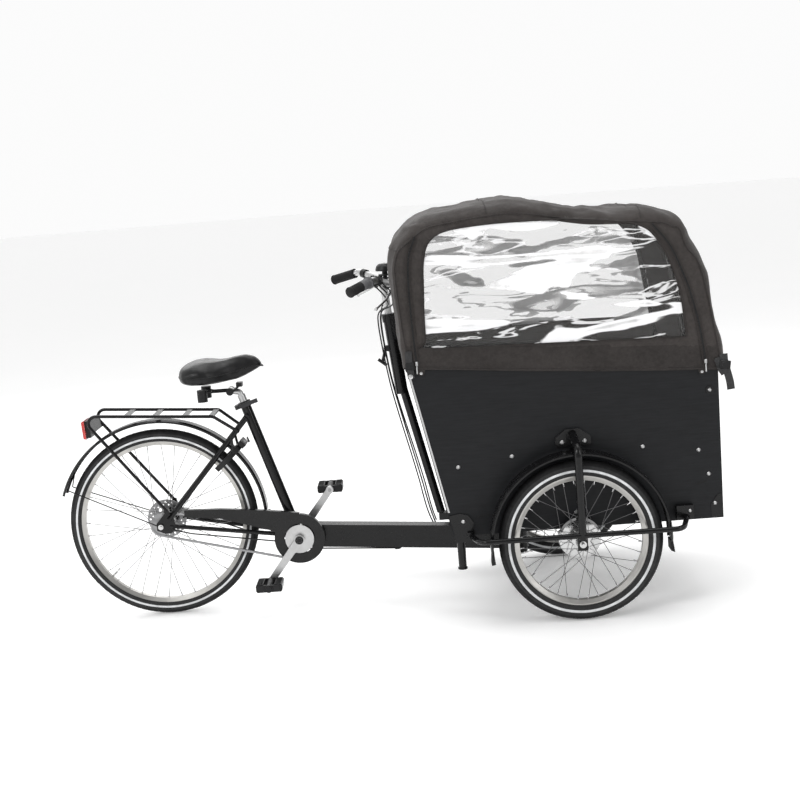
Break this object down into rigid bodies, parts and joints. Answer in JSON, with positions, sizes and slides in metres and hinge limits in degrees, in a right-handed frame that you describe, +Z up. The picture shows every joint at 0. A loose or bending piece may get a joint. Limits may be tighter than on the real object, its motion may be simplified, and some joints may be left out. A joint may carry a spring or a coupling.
{
  "type": "cargo bicycle",
  "caption": "Three-wheeled cargo tricycle with a steered plywood load box and fabric rain canopy ahead of the rider, single rear drive wheel and a low beam frame.",
  "frame": {"origin": "on the ground at the middle of the whole tricycle, on its centreline", "axes": "+X forward, +Y to the rider's left, +Z up"},
  "size_m": [2.2298, 0.892, 1.3439],
  "materials": {
    "frame_black": "gloss black powder coat",
    "box_black": "black film-faced plywood, satin",
    "silver": "satin anodised",
    "chrome": "bright plated",
    "steel": "zinc plated",
    "tyre": "black rubber with a white reflective stripe",
    "rubber": "black rubber",
    "black_plastic": "moulded black",
    "saddle": "black vinyl, satin",
    "canvas": "coated black polyester",
    "vinyl": "clear flexible vinyl",
    "webbing": "black webbing"
  },
  "bodies": {
    "root": {"main_frame": "frame_black", "bb_cups": "steel", "seat_clamp": "frame_black", "rear_axle": "steel", "rear_fender": "frame_black", "rear_rack": "frame_black", "tail_light": "black_plastic", "chain_guard": "black_plastic", "chain": "steel", "ring_lock_body": "black_plastic", "rear_brake_caliper": "black_plastic", "frame_cables": "rubber"},
    "rear_wheel": {"rear_tyre": "tyre", "rear_rim": "silver", "rear_hub": "chrome"},
    "freewheel": {"rear_sprocket": "steel"},
    "crankset": {"crank_right": "silver", "crank_left": "silver", "chainring": "steel", "crank_spindles": "steel"},
    "pedal_right": {"pedal_right": "black_plastic"},
    "pedal_left": {"pedal_left": "black_plastic"},
    "seat_post": {"seatpost": "silver"},
    "saddle": {"saddle_cover": "saddle", "saddle_base": "black_plastic"},
    "clamp_lever": {"seat_clamp_lever": "black_plastic"},
    "lock_bolt": {"ring_lock_bolt": "steel"},
    "cargo": {"chassis": "frame_black", "wheel_guards": "frame_black", "box_side_right": "box_black", "box_side_left": "box_black", "box_front": "box_black", "box_rear": "box_black", "box_floor": "box_black", "bench_riser": "box_black", "box_hardware": "steel", "canopy": "canvas", "canopy_windows": "vinyl", "canopy_poles": "frame_black", "canopy_straps": "webbing", "front_fenders": "frame_black", "front_brake_plates": "steel", "steering_column": "frame_black", "handlebar": "silver", "grips": "rubber", "lever_mounts": "black_plastic", "bell": "black_plastic", "control_cables": "rubber"},
    "bench_lid": {"bench_seat": "box_black"},
    "front_wheel_right": {"front_tyre_right": "tyre", "front_rim_right": "silver", "front_hub_right": "chrome"},
    "front_wheel_left": {"front_tyre_left": "tyre", "front_rim_left": "silver", "front_hub_left": "chrome"},
    "shift_grip": {"shift_grip": "rubber"},
    "brake_lever_right": {"brake_lever_right": "silver"},
    "brake_lever_left": {"brake_lever_left": "silver"},
    "bell_lever": {"bell_lever": "black_plastic"},
    "parking_lever": {"parking_lever": "black_plastic"}
  },
  "joints": [
    {"name": "steering", "type": "hinge", "parent": "root", "child": "cargo", "pos_m": [0.43789, 0, 0.2], "axis": [0, 0, 1], "range_deg": [-35, 35]},
    {"name": "rear_wheel_spin", "type": "hinge", "parent": "root", "child": "rear_wheel", "pos_m": [-0.77711, 0, 0.325], "axis": [0, 1, 0], "continuous": true},
    {"name": "crank_spin", "type": "hinge", "parent": "root", "child": "crankset", "pos_m": [-0.31311, 0, 0.244], "axis": [0, 1, 0], "continuous": true},
    {"name": "freewheel_spin", "type": "hinge", "parent": "root", "child": "freewheel", "pos_m": [-0.77711, 0, 0.325], "axis": [0, 1, 0], "continuous": true},
    {"name": "pedal_right_spin", "type": "hinge", "parent": "crankset", "child": "pedal_right", "pos_m": [-0.41917, -0.13, 0.11114], "axis": [0, 1, 0], "continuous": true},
    {"name": "pedal_left_spin", "type": "hinge", "parent": "crankset", "child": "pedal_left", "pos_m": [-0.20705, 0.13, 0.37686], "axis": [0, 1, 0], "continuous": true},
    {"name": "seat_height", "type": "slide", "parent": "root", "child": "seat_post", "axis": [-0.2925, 0, 0.9563], "range_m": [0, 0.11]},
    {"name": "saddle_tilt", "type": "hinge", "parent": "seat_post", "child": "saddle", "pos_m": [-0.50711, 0, 0.762], "axis": [0, 1, 0], "range_deg": [-12, 12]},
    {"name": "clamp_lever", "type": "hinge", "parent": "root", "child": "clamp_lever", "pos_m": [-0.489, -0.024, 0.70654], "axis": [-0.2925, 0, 0.9563], "range_deg": [-150, 0]},
    {"name": "ring_lock_bolt", "type": "hinge", "parent": "root", "child": "lock_bolt", "pos_m": [-0.53711, 0, 0.53363], "axis": [-0.6561, 0, 0.7547], "range_deg": [0, 95]},
    {"name": "bench_lid", "type": "hinge", "parent": "cargo", "child": "bench_lid", "pos_m": [0.17889, 0, 0.551], "axis": [0, -1, 0], "range_deg": [0, 80]},
    {"name": "front_wheel_right_spin", "type": "hinge", "parent": "cargo", "child": "front_wheel_right", "pos_m": [0.60789, -0.372, 0.26], "axis": [0, 1, 0], "continuous": true},
    {"name": "front_wheel_left_spin", "type": "hinge", "parent": "cargo", "child": "front_wheel_left", "pos_m": [0.60789, 0.372, 0.26], "axis": [0, 1, 0], "continuous": true},
    {"name": "shift_grip_twist", "type": "hinge", "parent": "cargo", "child": "shift_grip", "pos_m": [0.01156, -0.22782, 1.116], "axis": [0.6087, 0.7626, 0.2187], "range_deg": [-50, 50]},
    {"name": "brake_lever_right_pull", "type": "hinge", "parent": "cargo", "child": "brake_lever_right", "pos_m": [0.06116, -0.18469, 1.068], "axis": [-0.6636, 0.4896, -0.5656], "range_deg": [0, 16], "stiffness_Nm_per_rad": 0.6, "springref_deg": -8.59},
    {"name": "brake_lever_left_pull", "type": "hinge", "parent": "cargo", "child": "brake_lever_left", "pos_m": [0.01067, 0.18387, 1.068], "axis": [0.5075, 0.65, 0.5656], "range_deg": [0, 16], "stiffness_Nm_per_rad": 0.6, "springref_deg": -8.59},
    {"name": "bell_lever_ring", "type": "hinge", "parent": "cargo", "child": "bell_lever", "pos_m": [0.03322, -0.07557, 1.115], "axis": [0, 0, 1], "range_deg": [0, 25], "stiffness_Nm_per_rad": 0.03, "springref_deg": -11.46},
    {"name": "parking_lever_pull", "type": "hinge", "parent": "cargo", "child": "parking_lever", "pos_m": [0.02889, 0, 0.868], "axis": [0, 1, 0], "range_deg": [0, 55]}
  ],
  "couplings": [
    {"joint": "freewheel_spin", "follows": "crank_spin", "ratio": 2}
  ]
}
